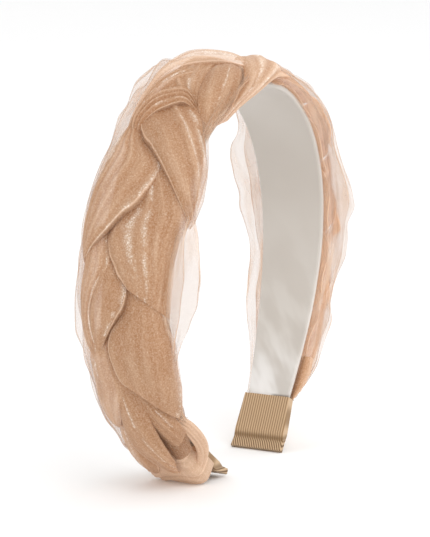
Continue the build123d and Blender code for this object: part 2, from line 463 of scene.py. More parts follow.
def swell(phase):
    # how thick a strand is above and below its middle line, where the other two leave it room
    share = np.linspace(-1, 1, course["points"])
    line = strandLine(phase, share)
    run = np.gradient(line, axis=1)
    up = unit(np.stack([-run[..., 1], run[..., 0]], axis=-1))
    puff = (course["puff"] - course["edge"]) * np.maximum(1 - share**2, 0) ** course["roundness"]
    puff = course["edge"] + puff
    over = np.broadcast_to(puff, line.shape[:2]).copy()
    under = over.copy()
    for turn in (1, -1):
        way = wayTo(line, strandLine(phase + turn * 2 * np.pi / 3, share[::4]))
        room = np.linalg.norm(way, axis=-1) / 2 - course["gap"] / 2
        above = (way * up).sum(-1) > 0
        over = np.where(above, np.minimum(over, room), over)
        under = np.where(above, under, np.minimum(under, room))
    return line, up, over, under


# How far past the satin's front edge the far arm's cloth stays thick, in mm, before it turns sheer
farEdge = dict(
    start=(200, 212),
    at=[205, 254, 260, 277, 286, 291, 295, 301, 308, 316, 322, 340, 350],
    thick=[14.0, 10.0, 4.0, 3.4, 6.0, 9.0, 4.0, 3.0, 4.6, 6.5, 5.0, 5.6, 7.0],
    back=1.5,
    fade=1.6,
    thinnest=-0.45,
    lean=0.45,            # cloth that stands out counts as reaching further
)


def thinned(dense, places, s):
    # the far arm's cover, less where it reaches past the band
    look = farEdge
    y = (places[..., 1] - shift.y) / mm
    thick = np.where(y < 0, np.interp(s, look["at"], look["thick"]), look["back"])
    h = np.linalg.norm(places - onArch(s, y, 0.0), axis=-1) / mm
    reach = np.abs(y) + np.where(y < 0, look["lean"], 0) * h
    past = np.clip((reach - bandWidth(s) / 2 - thick) / look["fade"], 0, 1)
    past = past * partWay(s, *look["start"])
    return dense + (np.minimum(look["thinnest"], dense) - dense) * past


def sampled(grid, share):
    # a grid of values over the share across, read at other shares
    spot = (np.clip(share, -1, 1) + 1) / 2 * (grid.shape[1] - 1)
    cell = np.clip(spot.astype(int), 0, grid.shape[1] - 2)
    part = spot - cell
    if grid.ndim == 3:
        cell, part = cell[..., None], part[..., None]
    low = np.take_along_axis(grid, cell, axis=1)
    high = np.take_along_axis(grid, cell + 1, axis=1)
    return low + (high - low) * part


def onBraid(section, s):
    # a place in the braid's own section, stretched to the braid's width and height at s
    across, level = section[..., 0], section[..., 1]
    y = across * braid["halfWidth"] * np.where(across > 0, fill("back", s), fill("front", s))
    out = (level + course["low"]) * braid["height"] / course["height"] * fill("tall", s)
    out = out * braid["packed"] * flatness(s)
    droop = braid["droop"] * np.minimum(np.abs(across), braid["droopReach"]) ** 4
    return onArch(s, y, arch["wall"] + braid["lift"] + out - droop)


def creaseSpots(count):
    span = creaseLook["span"]
    return [-span + 2 * span * (i + 0.5) / count for i in range(count)]


def layerOver(past, sharp, fade):
    # how high a layer stands past its edge: a crisp step that sinks back
    return np.exp(-np.maximum(past, 0) / fade) / (1 + np.exp(-past / sharp))


def layCreases(seed, s, columns, count, step):
    # layers that lie over one another across a face: the shares of its columns, how high each
    # stands in mm, and how near it is to a layer's edge
    look = creaseLook
    draw = np.random.default_rng(seed)
    share = np.broadcast_to(columns, (len(s), len(columns))).copy()
    height = np.zeros_like(share)
    hem = np.zeros_like(share)

    def beat(shortest, more):
        return np.sin(s / (shortest + more * draw.random()) + look["phase"] * draw.random())

    for spot in creaseSpots(count):
        side = draw.choice([-1, 1])
        wander = look["wander"] * beat(*look["wanderLength"])
        weakest, more = look["strength"]
        strength = np.clip(weakest + more * beat(*look["beatLength"]), 0, 1)
        past = side * (columns - spot)
        height += step * strength * layerOver(past, look["sharp"], look["fade"])
        hem += strength * bell(past - look["sharp"], look["hem"])
        share += wander * np.maximum(1 - np.abs(columns - spot) / look["pull"], 0) ** 1.5
    return share, height, np.clip(hem, 0, 1)


def faceColumns():
    # evenly spread over the face and close together where the creases run
    look = strandLook
    spread = -np.cos(np.linspace(0, np.pi, look["across"] + 1))
    close = look["creaseWidth"] * np.linspace(-1, 1, look["creasePoints"])
    extra = [spot + close for spot in creaseSpots(look["creases"])]
    return np.unique(np.round(np.concatenate([spread] + extra), 4))[:-1]


def strandBundle(number, material):
    look = strandLook
    s = np.linspace(braidStart, braidEnd, look["stations"])
    line, up, over, under = swell(braidPhase(s, number))
    s = s[:, None]
    far = partWay(s, *look["paleFrom"])
    nearShading, farShading = look["pressed"]
    even = look["evenShare"]
    sides = []
    for face in (1, -1):
        seed = 40 * number + 7 * face + 10
        share, layers, hem = layCreases(seed, s, faceColumns(), look["creases"], look["creaseStep"])
        share = np.clip(share, -1, 1) * face
        rim = np.sqrt(np.maximum(1 - share**2, 0))
        width = share * look["width"]
        soft = waves(seed + 1, width, s, *look["soft"])
        fine = waves(seed + 2, width, s, *look["fine"])
        gathered = np.clip(waves(seed + 3, width, s, *look["bunched"]) + even["bunched"], 0, 1)
        room = sampled(over if face > 0 else under, share)
        # painted shade where the other strands leave this one little room, and lighter painted shading on
        # the far arm
        pressed = np.clip(room / course["puff"], 0, 1) * nearShading * (1 - far) + farShading * far
        relief = layers - look["creaseStep"] * look["settled"]
        relief = relief + look["gatherDepth"] * soft * (even["gather"] + gathered)
        relief = relief + look["crinkleDepth"] * fine * (even["crinkle"] + gathered)
        relief = relief / braid["halfWidth"] * rim
        thick = np.maximum(room + relief, course["edge"] * look["thinnest"])
        place = sampled(line, share) + sampled(up, share) * face * thick[..., None]
        # painted highlight on the gathers' crests and painted shade in their valleys, scaled by how bunched
        # the cloth is
        ridgeShading = ridgeShadingOf(soft) * (even["ridgeShading"] + (1 - even["ridgeShading"]) * gathered)
        fromEdge = 1 - np.abs(share)
        # the folded edges of the creases and the strand: a denser doubled layer with a painted highlight
        # line
        hem = np.clip(hem + bell(fromEdge, look["hemWidth"]), 0, 1)
        dense = partWay(fromEdge, 0, look["edgeWidth"])
        dense = dense * dense * (3 - 2 * dense) * (1 - look["farSheer"] * far)
        across = width + 3 * look["width"] * (face < 0)
        sides.append((place, across, ridgeShading, hem, pressed, dense))
    section, across, ridgeShading, hem, pressed, dense = [np.concatenate(part, axis=1) for part in zip(*sides)]
    places = onBraid(section, s)
    laid = dict(ridgeShading=ridgeShading, hem=hem, pressed=pressed, dense=thinned(dense, places, s))
    # painted glow (emission) on the far arm, for the light through its thinner cloth
    laid["through"] = look["backLight"] * far
    bundle = gridPiece(f"organza_strand_{number + 1}", places, (across, s), laid, material, closed=True)
    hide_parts(f"braid_strand_{number + 1}")


# The outer face that the strands' broad folds lie on: how far it reaches from the band's middle, in
# mm. A place on it is s and an angle in degrees: 0 at the back edge, 90 on top, 180 at the front
shell = dict(
    backAt=[14, 25, 37, 55, 67, 79, 91, 103, 115, 127, 140, 155, 170, 190, 205, 235, 270, 300, 330, 345],
    back=[12.5, 16, 17, 18.5, 18, 19, 19, 19.5, 20.5, 20, 18.5, 17, 16, 18, 18, 17, 17, 16, 14, 12],
    frontAt=[
        14, 25, 37, 49, 61, 78, 84, 96, 108, 114, 120, 128, 137, 145, 151, 163, 180, 217, 236, 250, 262, 280,
        300, 320, 345,
    ],
    front=[
        10.5, 11.5, 14, 15, 17, 18, 16.5, 16.5, 17, 18.5, 22, 23.5, 22.5, 20, 18, 19, 20, 18, 20.5, 21, 18.5,
        17.5, 17, 15, 14,
    ],
    foot=3.0,             # mm over the inner face
    sideRound=0.80,
    topRound=0.75,
)


def shellReach(s, side):
    return np.interp(s, shell[side + "At"], shell[side])


def shellPlace(s, angle, lift):
    lift = lift * flatness(s)
    top = arch["wall"] + braid["lift"] + braid["height"] * fill("tall", s) * flatness(s)
    half = np.where(angle < 90, shellReach(s, "back"), shellReach(s, "front"))
    turned = np.radians(np.clip(angle, 0, 180))
    cosine, sine = np.cos(turned), np.maximum(np.sin(turned), 0)
    y = half * np.sign(cosine) * np.abs(cosine) ** shell["sideRound"]
    h = shell["foot"] + (top - shell["foot"]) * sine ** shell["topRound"]
    across, outward = cosine / half, sine / top
    length = np.hypot(across, outward)
    return onArch(s, y + lift * across / length, h + lift * outward / length)


def through(table, count):
    # a soft line through the rows of a table
    table = np.array(table, float)
    spots = np.linspace(0, len(table) - 1, count)
    cells = np.clip(spots.astype(int), 0, len(table) - 2)
    part = (spots - cells)[:, None]
    here, there = table[cells], table[cells + 1]
    leave = (there - table[np.maximum(cells - 1, 0)]) / 2
    arrive = (table[np.minimum(cells + 2, len(table) - 1)] - here) / 2
    value = here * (1 + 2 * part) * (1 - part) ** 2 + there * part**2 * (3 - 2 * part)
    return value + leave * part * (1 - part) ** 2 - arrive * part**2 * (1 - part)


# The broad folds. Each lies between two edges, given as (s, angle, lift) with the lift in mm. The
# second edge is the crisp one where its lift is high
foldLook = dict(
    rows=110,
    across=56,
    roundness=0.65,
    leastEnd=0.02,         # share of the length, so that a fold's ends keep some fullness
    roll=0.03,             # share of the width over which the crisp edge turns down
    rollPoints=12,
    rollDrop=1.3,          # mm
    sink=1.7,              # mm into the strand below
    tuck=1.8,              # mm further down at its start
    tuckShare=0.04,
    lengthScale=0.6,       # mm of cloth for each step of s and angle along it
    widthScale=0.4,
    soft=((3.0, 8.0), 60.0, 6),
    fine=((0.8, 1.8), 30.0, 8),
    sway=((5, 9), 14.0, 3),
    wander=((5, 9), 9.0, 3),
    gatherDepth=0.34,      # mm
    crinkleDepth=0.06,
    swayDepth=0.25,
    wanderDepth=0.02,
    glitterWidth=0.6,
    hemWidth=0.010,
    crispFrom=0.6,         # mm of lift from which an edge shows a hem, a denser fold with a painted highlight line
    sheerSide=(0.08, 0.63),      # sine of the angle over which the cloth turns full
    edgeThin=0.4,
    edgeThinWidth=0.06,
    pleatShading=0.3,
    light=0.08,            # how much painted glow (emission) the cloth gives for light through it, and what adds to it
    backLight=0.35,
    edgeLight=0.2,
    paleLight=0.25,
)

# What a fold has where its own row says nothing
plainFold = dict(
    gathers=0.5,
    pleats=0,
    pleatDepth=0.32,
    thin=0.01,
    cover=1.0,
    # how much lighter a fold's painted shading is and how much more painted glow it has; below 0 darker
    pale=0,
    solid=False,
    # where across the fold, as (share, width), the painted glints of its glitter thread run
    glitterGlints=[],
)

broadFolds = [
    dict(
        name="crown_back", strand=1, bulge=2, gathers=0.8, pleats=5, thin=1, cover=0.85, pale=0.4,
        glitterGlints=[(0.72, 0.1)],
        first=[
            (150, 22, 0), (158, 18, 0), (168, 20, 0), (179, 30, 0), (189, 42, 0.2), (197, 54, 0.2),
            (198, 76, 0.2), (194, 118, 0),
        ],
        second=[
            (147, 62, 0), (154, 60, 0.4), (162, 56, 1.2), (170, 58, 2.2), (178, 86, 2.4), (182, 106, 2.4),
            (186, 136, 1.6), (190, 150, 0.2),
        ],
    ),
    dict(
        name="crown_fold", strand=0, bulge=3.2, gathers=0.9, pale=0.05, glitterGlints=[(0.95, 0.03), (0.5, 0.03)],
        first=[(182, 100, 0), (177, 104, 0.8), (169, 110, 1.4), (161, 120, 1.4), (153, 150, 0.2)],
        second=[(187, 132, 0), (182, 146, 1.4), (174, 164, 1.9), (165, 174, 1.5), (151, 176, 0.2)],
    ),
    dict(
        name="crown_strip", strand=2, bulge=2.2, gathers=1, pale=0.1, glitterGlints=[(0.5, 0.06)],
        first=[(190, 66, 0), (178, 66, 0), (168, 80, 0.2), (158, 110, 0)],
        second=[(188, 106, 0), (173, 116, 0.4), (163, 124, 0.4), (156, 142, 0)],
    ),
    dict(
        name="crown_puff", strand=2, bulge=2.4, gathers=1.2, pleats=4, solid=True, pale=0.3,
        glitterGlints=[(0.3, 0.05), (0.62, 0.08)],
        first=[(197, 100, 0.2), (191, 120, 0.8), (183, 146, 1.8), (174, 166, 2.2), (158, 174, 0.8)],
        second=[(221, 112, 0), (219, 140, 1.4), (212, 168, 3.4), (190, 180, 4), (163, 180, 2.4)],
    ),
    dict(
        name="crown_rear", strand=1, bulge=1.4, gathers=1, pleats=3, cover=0.85, pale=0.2,
        first=[(224, 98, 0), (227, 76, 0), (225, 52, 0), (220, 28, 0), (212, 12, 0), (203, 6, 0)],
        second=[
            (219, 112, 0), (212, 104, 0.2), (207, 90, 0.4), (202, 68, 0.4), (197, 40, 0.2), (194, 16, 0),
        ],
    ),
    dict(
        name="crown_bunch", strand=0, bulge=1.8, gathers=1, pleats=5, pleatDepth=0.5, pale=0.15,
        glitterGlints=[(0.5, 0.05)],
        first=[
            (143, 46, 0), (152, 46, 0.4), (161, 46, 0.6), (170, 50, 0.6), (178, 74, 0.6), (183, 98, 0.4),
        ],
        second=[
            (144, 66, 0), (151, 68, 0.2), (158, 76, 0.6), (165, 90, 0.8), (171, 102, 0.8), (176, 114, 0.4),
        ],
    ),
    dict(
        name="back_upper", strand=1, bulge=3, gathers=0.6, pale=0.05, glitterGlints=[(0.955, 0.03), (0.25, 0.05)],
        first=[
            (161, 50, 0), (152, 46, 0), (144, 34, 0), (134, 18, 0), (121, 6, 0), (110, 2, 0.2),
            (101, 6, 0.4),
        ],
        second=[
            (160, 68, 0), (151, 74, 0), (144, 88, 0), (135.5, 107, 0.4), (126, 100, 2.2), (120, 90, 2.6),
            (112, 68, 2.4), (101, 14, 1),
        ],
    ),
    dict(
        name="front_upper", strand=0, bulge=3.4, gathers=0.8, pleats=3,
        glitterGlints=[(0.45, 0.03), (0.22, 0.09)],
        first=[
            (164, 104, 0), (157, 142, 0.2), (150, 168, 0.4), (143.5, 176, 0.4), (137, 180, 0.4),
            (129, 180, 0.6), (124, 180, 0.8), (118, 178, 0.8),
        ],
        second=[
            (158, 72, 0), (150.5, 72, 1.6), (145.5, 82, 2.6), (138, 100, 2.6), (131, 118, 2.6),
            (127, 129, 2.6), (122, 148, 2.2), (118, 172, 1.2),
        ],
    ),
    dict(
        name="middle_knot", strand=2, bulge=3, gathers=0.9, pleats=5, pleatDepth=0.55, pale=0.1,
        glitterGlints=[(0.8, 0.05)],
        first=[(146, 58, 0), (152, 58, 1), (159, 68, 1.2), (165, 88, 1.2), (166, 102, 1), (160, 126, 0.4)],
        second=[
            (145, 74, 0), (150, 80, 2.2), (154, 88, 2.6), (157.5, 98, 2.6), (159, 108, 2.2),
            (158, 126, 0.4),
        ],
    ),
    dict(
        name="front_middle", strand=2, bulge=3, gathers=0.7, glitterGlints=[(0.8, 0.06), (0.64, 0.04)],
        first=[
            (141, 106, 0), (132.5, 140, 0), (125, 174, 0), (115, 178, 0.2), (106, 180, 0.4), (97, 178, 0.8),
            (87, 166, 2),
        ],
        second=[
            (134, 90, 0), (121, 86, 0), (112.5, 72, 0.6), (107, 76, 1.6), (104, 82, 2), (100, 88, 2.4),
            (97, 96, 2.6),
        ],
    ),
    dict(
        name="back_middle", strand=0, bulge=2.2, thin=0.35, pale=0.1, glitterGlints=[(0.95, 0.03)],
        first=[
            (113, 16, 0), (104, 4, 0), (98, 0, 0.2), (92, 0, 0.4), (84, 0, 0.4), (76, 2, 0.4),
            (69, 10, 0.2),
        ],
        second=[
            (117, 66, 0), (110, 75, 0.4), (104, 80, 1.2), (97, 66, 2), (89, 52, 2.2), (82, 52, 2),
            (75, 58, 1.2),
        ],
    ),
    dict(
        name="back_tucked", strand=1, bulge=2.6, glitterGlints=[(0.92, 0.06)],
        first=[(108, 60, 0), (101, 56, 0), (93, 44, 0), (86, 38, 0), (80, 42, 0), (73, 56, 0.2)],
        second=[(108, 86, 0), (98, 95, 1), (94, 96, 1.6), (88.5, 90, 1.9), (83, 80, 1.9), (74, 60, 1.2)],
    ),
    dict(
        name="front_lower", strand=0, bulge=3.4, glitterGlints=[(0.14, 0.07)],
        first=[
            (105, 124, 0), (96, 146, 0.2), (88, 164, 0.4), (81, 174, 0.4), (73, 178, 0.4), (64, 178, 0.6),
            (55, 172, 1.2), (50, 154, 2.4),
        ],
        second=[
            (105, 92, 0), (95, 93, 0), (88, 88, 0.4), (82.5, 78, 1.2), (77.5, 74, 1.8), (72, 78, 2.4),
            (67, 84, 2.8), (64, 94, 2.8),
        ],
    ),
    dict(
        name="back_lower", strand=2, bulge=2.6, thin=0.6, pale=0.1, glitterGlints=[(0.5, 0.05)],
        first=[
            (82, 46, 0.6), (75, 30, 1.2), (68, 14, 1), (62, 6, 0.4), (54, 8, 0.4), (47, 20, 0.4),
            (43, 42, 0.4),
        ],
        second=[
            (84, 72, 0), (76, 78, 0), (70, 84, 0), (65, 96, 0.2), (60, 90, 1.2), (53, 76, 1.8),
            (45, 56, 1.2),
        ],
    ),
    dict(
        name="lower_strap", strand=1, bulge=3.2, glitterGlints=[(0.4, 0.04)],
        first=[
            (70, 84, 0), (61.5, 96, 0.4), (54, 104, 1.4), (46, 109, 2.4), (39, 112, 2.8), (31, 114, 2.6),
        ],
        second=[
            (60, 74, 0), (49, 68, 1.2), (38.5, 70, 2.4), (31, 82, 2.8), (24, 94, 2.8), (21.5, 108, 2.6),
        ],
    ),
    dict(
        name="lower_inner", strand=0, bulge=2, glitterGlints=[(0.3, 0.04)],
        first=[(68, 100, 0), (58, 122, 0.6), (51, 148, 1), (42, 164, 1)],
        second=[(66, 80, 0), (55, 92, 0.2), (44, 104, 0.4), (35, 124, 0.4)],
    ),
    dict(
        name="tail_inner", strand=0, bulge=1, pale=-0.35,
        first=[(54, 140, 0.2), (46, 156, 0.2), (38, 166, 0.2), (30, 168, 0.2)],
        second=[(50, 104, 0), (42, 106, 0), (34, 108, 0), (27, 112, 0)],
    ),
    dict(
        name="tail_fold", strand=2, bulge=2.6, thin=0.5, pale=0.1, glitterGlints=[(0.6, 0.05)],
        first=[(48, 50, 0), (40, 38, 0.2), (30, 28, 0.4), (22, 30, 0.8), (15, 40, 1.2)],
        second=[(48, 74, 0), (38, 74, 0.2), (30, 80, 1), (24, 82, 1.6), (17, 66, 1.4)],
    ),
]

# The far arm's folds repeat one broad fold from side to side, each over the one below it
farFolds = dict(start=221.0, spacing=13.4, count=9)
farFold = dict(
    bulge=2.6,
    gathers=1.2,
    pleats=3,
    cover=0.8,
    pale=0.22,
    first=[
        (17, 98, 0), (20, 76, 0), (18, 52, 0), (13, 28, 0), (6, 14, 0.2), (-3, 6, 0.2), (-11, 4, 0.4),
        (-16, 8, 0.6),
    ],
    second=[
        (14, 112, 0), (10, 109, 0.6), (6, 104, 1.6), (3, 95, 2), (-1, 84, 2.2), (-6, 64, 1.8),
        (-12, 34, 1.2), (-17, 12, 0.2),
    ],
)


def shapeFold(fold, seed):
    # a fold's places on the shell, with the fields that its finish reads
    look = foldLook
    first, second = through(fold["first"], look["rows"]), through(fold["second"], look["rows"])
    v = 1 - look["roll"] * np.linspace(0, 2, look["rollPoints"])
    v = np.unique(np.concatenate([np.linspace(0, 1, look["across"]), v]))[None]
    u = np.linspace(0, 1, look["rows"])[:, None]      # u runs along the fold and v across it
    s, angle, lift = [first[:, i : i + 1] * (1 - v) + second[:, i : i + 1] * v for i in range(3)]
    length = np.linalg.norm(np.diff(first[:, :2], axis=0), axis=1).sum() * look["lengthScale"]
    width = np.abs(first[:, :2] - second[:, :2]).sum(1).mean() * look["widthScale"]
    across, along = v * width, u * length
    soft = waves(seed, across, along, *look["soft"])
    fine = waves(seed + 1, across, along, *look["fine"])
    wander = look["wanderDepth"] * waves(seed + 2, 0 * v, along, *look["wander"])
    sway = look["swayDepth"] * waves(seed + 3, 0 * v, along, *look["sway"])
    inside = np.clip(u, look["leastEnd"], 1 - look["leastEnd"])
    full = np.sin(np.pi * v) ** look["roundness"] * np.sin(np.pi * inside) ** 0.5
    crisp = partWay(v, 1 - look["roll"], 1)
    pleats = np.sin(2 * np.pi * (fold["pleats"] * v + sway)) * (fold["pleats"] > 0)
    relief = (look["gatherDepth"] * soft + look["crinkleDepth"] * fine) * fold["gathers"]
    relief = (relief + pleats * fold["pleatDepth"]) * full**0.5
    drop = crisp**2 * np.minimum(lift, look["rollDrop"]) + look["sink"]
    drop = drop + look["tuck"] * np.exp(-u / look["tuckShare"])
    lift = lift + fold["bulge"] * full + relief - drop
    side = np.sin(np.radians(np.clip(angle, 0, 180)))
    dense = 1.0 if fold["solid"] else partWay(side, *look["sheerSide"])
    dense = dense * (1 - look["edgeThin"] * bell(1 - v, look["edgeThinWidth"]))
    dense = dense * np.clip(v / fold["thin"], 0, 1) ** 1.5 * fold["cover"]
    glitterGlints = sum(bell(v - at - wander, wide * look["glitterWidth"]) for at, wide in fold["glitterGlints"])
    far = partWay(s, *strandLook["paleFrom"])
    light = look["light"] + look["backLight"] * far + look["edgeLight"] * (1 - dense)
    raised = np.clip(second[:, 2:3] - look["crispFrom"], 0, 1)
    # painted highlight on the crests of gathers and pleats, painted shade in their valleys
    ridgeShading = 0.5 + min(0.5, 0.5 * fold["gathers"]) * soft + look["pleatShading"] * pleats
    laid = dict(
        dense=dense,
        glitterGlints=glitterGlints,
        # painted glow (emission) for light through the cloth: more where sheer, on the far arm and on pale
        # folds
        through=light + look["paleLight"] * fold["pale"],
        ridgeShading=np.clip(ridgeShading, 0, 1),
        # the raised crisp edge's fold: a denser doubled layer with a painted highlight line
        hem=(1 - far) * raised * bell(v - 1 + look["roll"] * 1.1, look["hemWidth"]),
    )
    return dict(s=s, angle=angle, lift=lift, cloth=(across, along), laid=laid)


# How high the folds stand on average round each place, which tells what lies tucked between them and so
# where shade is painted in the hollows and highlight on what stands out
hollowLook = dict(
    stepS=0.5,
    stepAngle=1.5,
    spreadS=9,
    spreadAngle=9,
    bare=-2.5,             # mm, where no fold lies
    depth=3.0,
    level=0.55,
)


def hollowCell(s, angle):
    rows = np.clip(s, 0, arch["length"]) / hollowLook["stepS"]
    return rows.astype(int), (np.clip(angle, 0, 180) / hollowLook["stepAngle"]).astype(int)


def mapFolds(shapes):
    look = hollowLook
    rows, columns = hollowCell(np.array(arch["length"]), np.array(180))
    heights = np.full((rows + 1, columns + 1), look["bare"])
    for shape in shapes:
        np.maximum.at(heights, hollowCell(shape["s"], shape["angle"]), shape["lift"])
    for axis in (0, 1):
        for turn in (1, -1):
            heights = np.maximum(heights, np.roll(heights, turn, axis))
    for axis, spread in ((0, look["spreadS"]), (1, look["spreadAngle"])):
        window = np.hanning(2 * spread + 1)[1:-1]
        window /= window.sum()
        heights = np.apply_along_axis(lambda row: np.convolve(row, window, "same"), axis, heights)
    return heights


def organzaFold(fold, shape, heights, material):
    s, angle, lift, laid = [shape[field] for field in ("s", "angle", "lift", "laid")]
    places = shellPlace(s, angle, lift)
    laid["dense"] = thinned(laid["dense"], places, s)
    # painted shade where a fold lies below its neighbours, painted highlight where it stands above them,
    # lighter or darker by its pale share
    standing = (lift - heights[hollowCell(s, angle)]) / hollowLook["depth"]
    laid["pressed"] = np.clip(hollowLook["level"] + standing + fold["pale"], 0, 1)
    piece = gridPiece(f"organza_fold_{fold['name']}", places, shape["cloth"], laid, material)
    rests = f"organza_strand_{fold['strand'] + 1}"


def farArmFolds():
    made = []
    for i in range(farFolds["count"]):
        middle = farFolds["start"] + farFolds["spacing"] * i
        fold = dict(farFold, name=f"far_{i + 1}", strand=i % 3)
        for edge in ("first", "second"):
            rows = [(middle + s, angle if i % 2 else 180 - angle, lift) for s, angle, lift in farFold[edge]]
            fold[edge] = [(min(s, braidEnd + 2), angle, lift) for s, angle, lift in rows]
        made.append(fold)
    return made


# The sheer layers that stand out past the folds: how far from the band's middle they reach, in mm
edgeLook = dict(
    stations=460,
    across=26,
    backAt=[
        22, 37, 43, 55, 67, 73, 79, 91, 103, 115, 127, 145, 157, 163, 175, 187, 200, 215, 235, 246, 253,
        258, 263, 269, 275, 281, 287, 293, 299, 305, 317, 326, 334, 345, 351, 358,
    ],
    back=[
        17, 18, 19, 20, 19.5, 21, 22.5, 23, 21.5, 22, 21, 20, 21.5, 21, 24, 24.5, 24, 21, 20.5, 20.5, 21,
        24, 28, 28.6, 27.8, 27, 26.4, 24.4, 22, 21, 20.6, 19, 17, 14.6, 12.6, 10.8,
    ],
    frontAt=[
        25, 31, 37, 43, 49, 61, 73, 79, 85, 91, 97, 103, 109, 115, 121, 130, 139, 145, 151, 157, 163, 200,
        217, 229, 241, 250, 259, 265, 271, 277, 283, 289, 295, 301, 307, 313, 319, 325, 331, 343, 350, 357,
    ],
    front=[
        11, 13, 14, 15, 15, 17.5, 18, 20.5, 24, 26.5, 28, 28, 27.5, 25.5, 23, 24, 23, 21, 18.5, 19, 21.5,
        20, 19, 20, 19, 20.5, 19.5, 20.5, 22, 23.5, 24, 21, 21.5, 20.5, 18, 16, 15.5, 17.5, 16, 14.7, 12.4,
        9.8,
    ],
    start=dict(back=braidStart - 2, front=46.0),
    end=arch["length"] - 22.5,       # just above the far ribbon pocket
    taper=(8, 15),                   # mm over which a layer rises at its start and sinks at its end
    endBody=10.4,                    # mm from the band's middle, as the far cuff has
    endFrom=braidEnd - 4,
    endTo=braidEnd + 8,
    sunk=(5.0, 3.2),                 # how high the lip lies at its start and at its end
    under=1.5,                       # mm that its reach starts inside the body
    shortest=1.0,
    lipHeight=7.5,
    layers=[(1.0, 0.0, 1), (0.55, 1.6, 2)],      # share of the reach, rise of the lip in mm, seed
    seeds=dict(back=710, front=720),
    # the section, from above the braid round the lip to below it. A place above or below has its
    # share of the body's reach, and its height at the layer's ends and between them
    above=[(0.72, 3.0, 11.6), (0.94, 4.0, 9.4)],
    lip=[(-0.6, 0.9), (0.0, 0.0), (-0.7, -0.7)],
    below=[(0.9, 4.2, 4.2), (0.66, 3.3, 3.3)],
    ruffle=((5, 9), 9.0, 5),
    sway=((5, 9), 16.0, 4),
    fine=((2.0, 5.0), 12.0, 7),
    ruffleShare=0.06,
    swayDepth=1.5,                   # mm
    fineDepth=0.35,
    fineWidth=14,
    clothWidth=16,
    hemWidth=0.035,
    # painted glow (emission) of the sheer layers
    light=0.06,
)


def smoothed(values, reach):
    # each value evened out with its neighbours up to so many steps away
    window = np.hanning(2 * reach + 1)
    return np.convolve(np.pad(values, reach, "edge"), window / window.sum(), "valid")


def edgeVeil(side, layer, material):
    look = edgeLook
    share, rise, seed = look["layers"][layer]
    seed += look["seeds"][side]
    s = np.linspace(look["start"][side], look["end"], look["stations"])
    past = partWay(s, look["endFrom"], look["endTo"])
    body = shellReach(s, side) * (1 - past) + look["endBody"] * past
    inside = body - look["under"]
    reach = smoothed(np.interp(s, look[side + "At"], look[side]), 4)
    ruffle = 1 + look["ruffleShare"] * waves(seed, 0 * s, s, *look["ruffle"])
    reach = inside + np.maximum(reach - inside, look["shortest"]) * share * ruffle
    rise = rise + look["swayDepth"] * waves(seed + 20, 0 * s, s, *look["sway"])
    first, last = look["taper"]
    ends = np.minimum(partWay(s, s[0], s[0] + first), partWay(s, s[-1], s[-1] - last)) ** 0.5
    ends = ends * flatness(s)
    startSunk, endSunk = look["sunk"]
    sunk = startSunk + (endSunk - startSunk) * past
    lip = sunk + (look["lipHeight"] + rise - sunk) * ends
    above, below = [
        [(body * part, low + (high - low) * ends) for part, low, high in look[field]]
        for field in ("above", "below")
    ]
    ring = np.array(above + [(reach + out, lip + up) for out, up in look["lip"]] + below)
    rows = through(ring.reshape(len(ring), -1), look["across"])
    y, h = rows.reshape(-1, 2, len(s)).transpose(1, 2, 0)
    across = np.linspace(0, 1, look["across"])
    s = s[:, None]
    fine = waves(seed + 40, across * look["fineWidth"], s, *look["fine"])
    h = h + look["fineDepth"] * fine * np.sin(np.pi * across) ** 0.5
    places = onArch(s, y if side == "back" else -y, h)
    laid = dict(ridgeShading=ridgeShadingOf(fine), hem=bell(across - 0.5, look["hemWidth"]), through=look["light"])
    cloth = across * look["clothWidth"], s
    veil = gridPiece(f"sheer_edge_{side}_{layer + 1}", places, cloth, laid, material)


# The ends of the braid, each folded over its ribbon pocket. The widths are mm from the middle and the
# tops mm over the ribbon's outer face, both from the ribbon's end to the braid
cuffLook = dict(
    rows=70,
    around=130,
    tableSpan=(-0.15, 1.15),
    tableSoftness=30,
    slant=(0.42, 0.03, 3.0),     # how far a fold slants, how much it bends, and from which y
    folds=4,
    foldStep=0.25,               # mm that one layer stands over the next
    sharp=0.25,
    fade=0.8,                    # in gaps between two folds
    hemWidth=0.3,
    hemShift=0.15,
    soft=((2.5, 6.0), 30.0, 6),
    softDepth=0.3,
    roof=0.35,                   # mm over the pocket where the cuff's inside lies
    roundRows=5,                 # rows over which the cuff's end is rounded
    roundHigh=0.08,
    roundWide=0.02,
    sideRelief=0.6,
    clothTurn=3,
    innerCloth=40,
    # level of the painted shading on the cuff's inside, dark as shade
    innerShading=0.1,
    left=dict(
        span=(12.0, 28.0),
        back=[12.4, 13.8, 14.4, 14.0],
        front=[11.4, 11.4, 9.6, 6.5],
        top=[8.4, 8.6, 8.2, 7.0],
        legs=(2.2, ribbonInner),     # mm over the inner face where its front and back sides end
        squareness=0.36,
        firstFold=19.0,
        gap=7.0,
        seams=1.0,
        seed=304,
        backThin=0,
        pressed=0.95,
        through=0.14,
    ),
    right=dict(
        span=(21.4, 39.0),
        back=[9.3, 9.4, 9.5, 9.4],
        front=[9.6, 12.6, 13.8, 13.6],
        top=[1.2, 3.6, 6.4, 7.0],
        legs=(2.7, 2.7),
        squareness=0.62,
        firstFold=25.0,
        gap=6.0,
        seams=0.0,
        seed=305,
        backThin=0.8,
        pressed=0.8,
        through=0.34,
    ),
)


def smoothTable(values, share):
    # a table's value with soft turns from one to the next
    spots = np.linspace(*cuffLook["tableSpan"], meanSteps)
    fine = np.interp(spots, np.linspace(0, 1, len(values)), values)
    return np.interp(share, spots, smoothed(fine, cuffLook["tableSoftness"]))


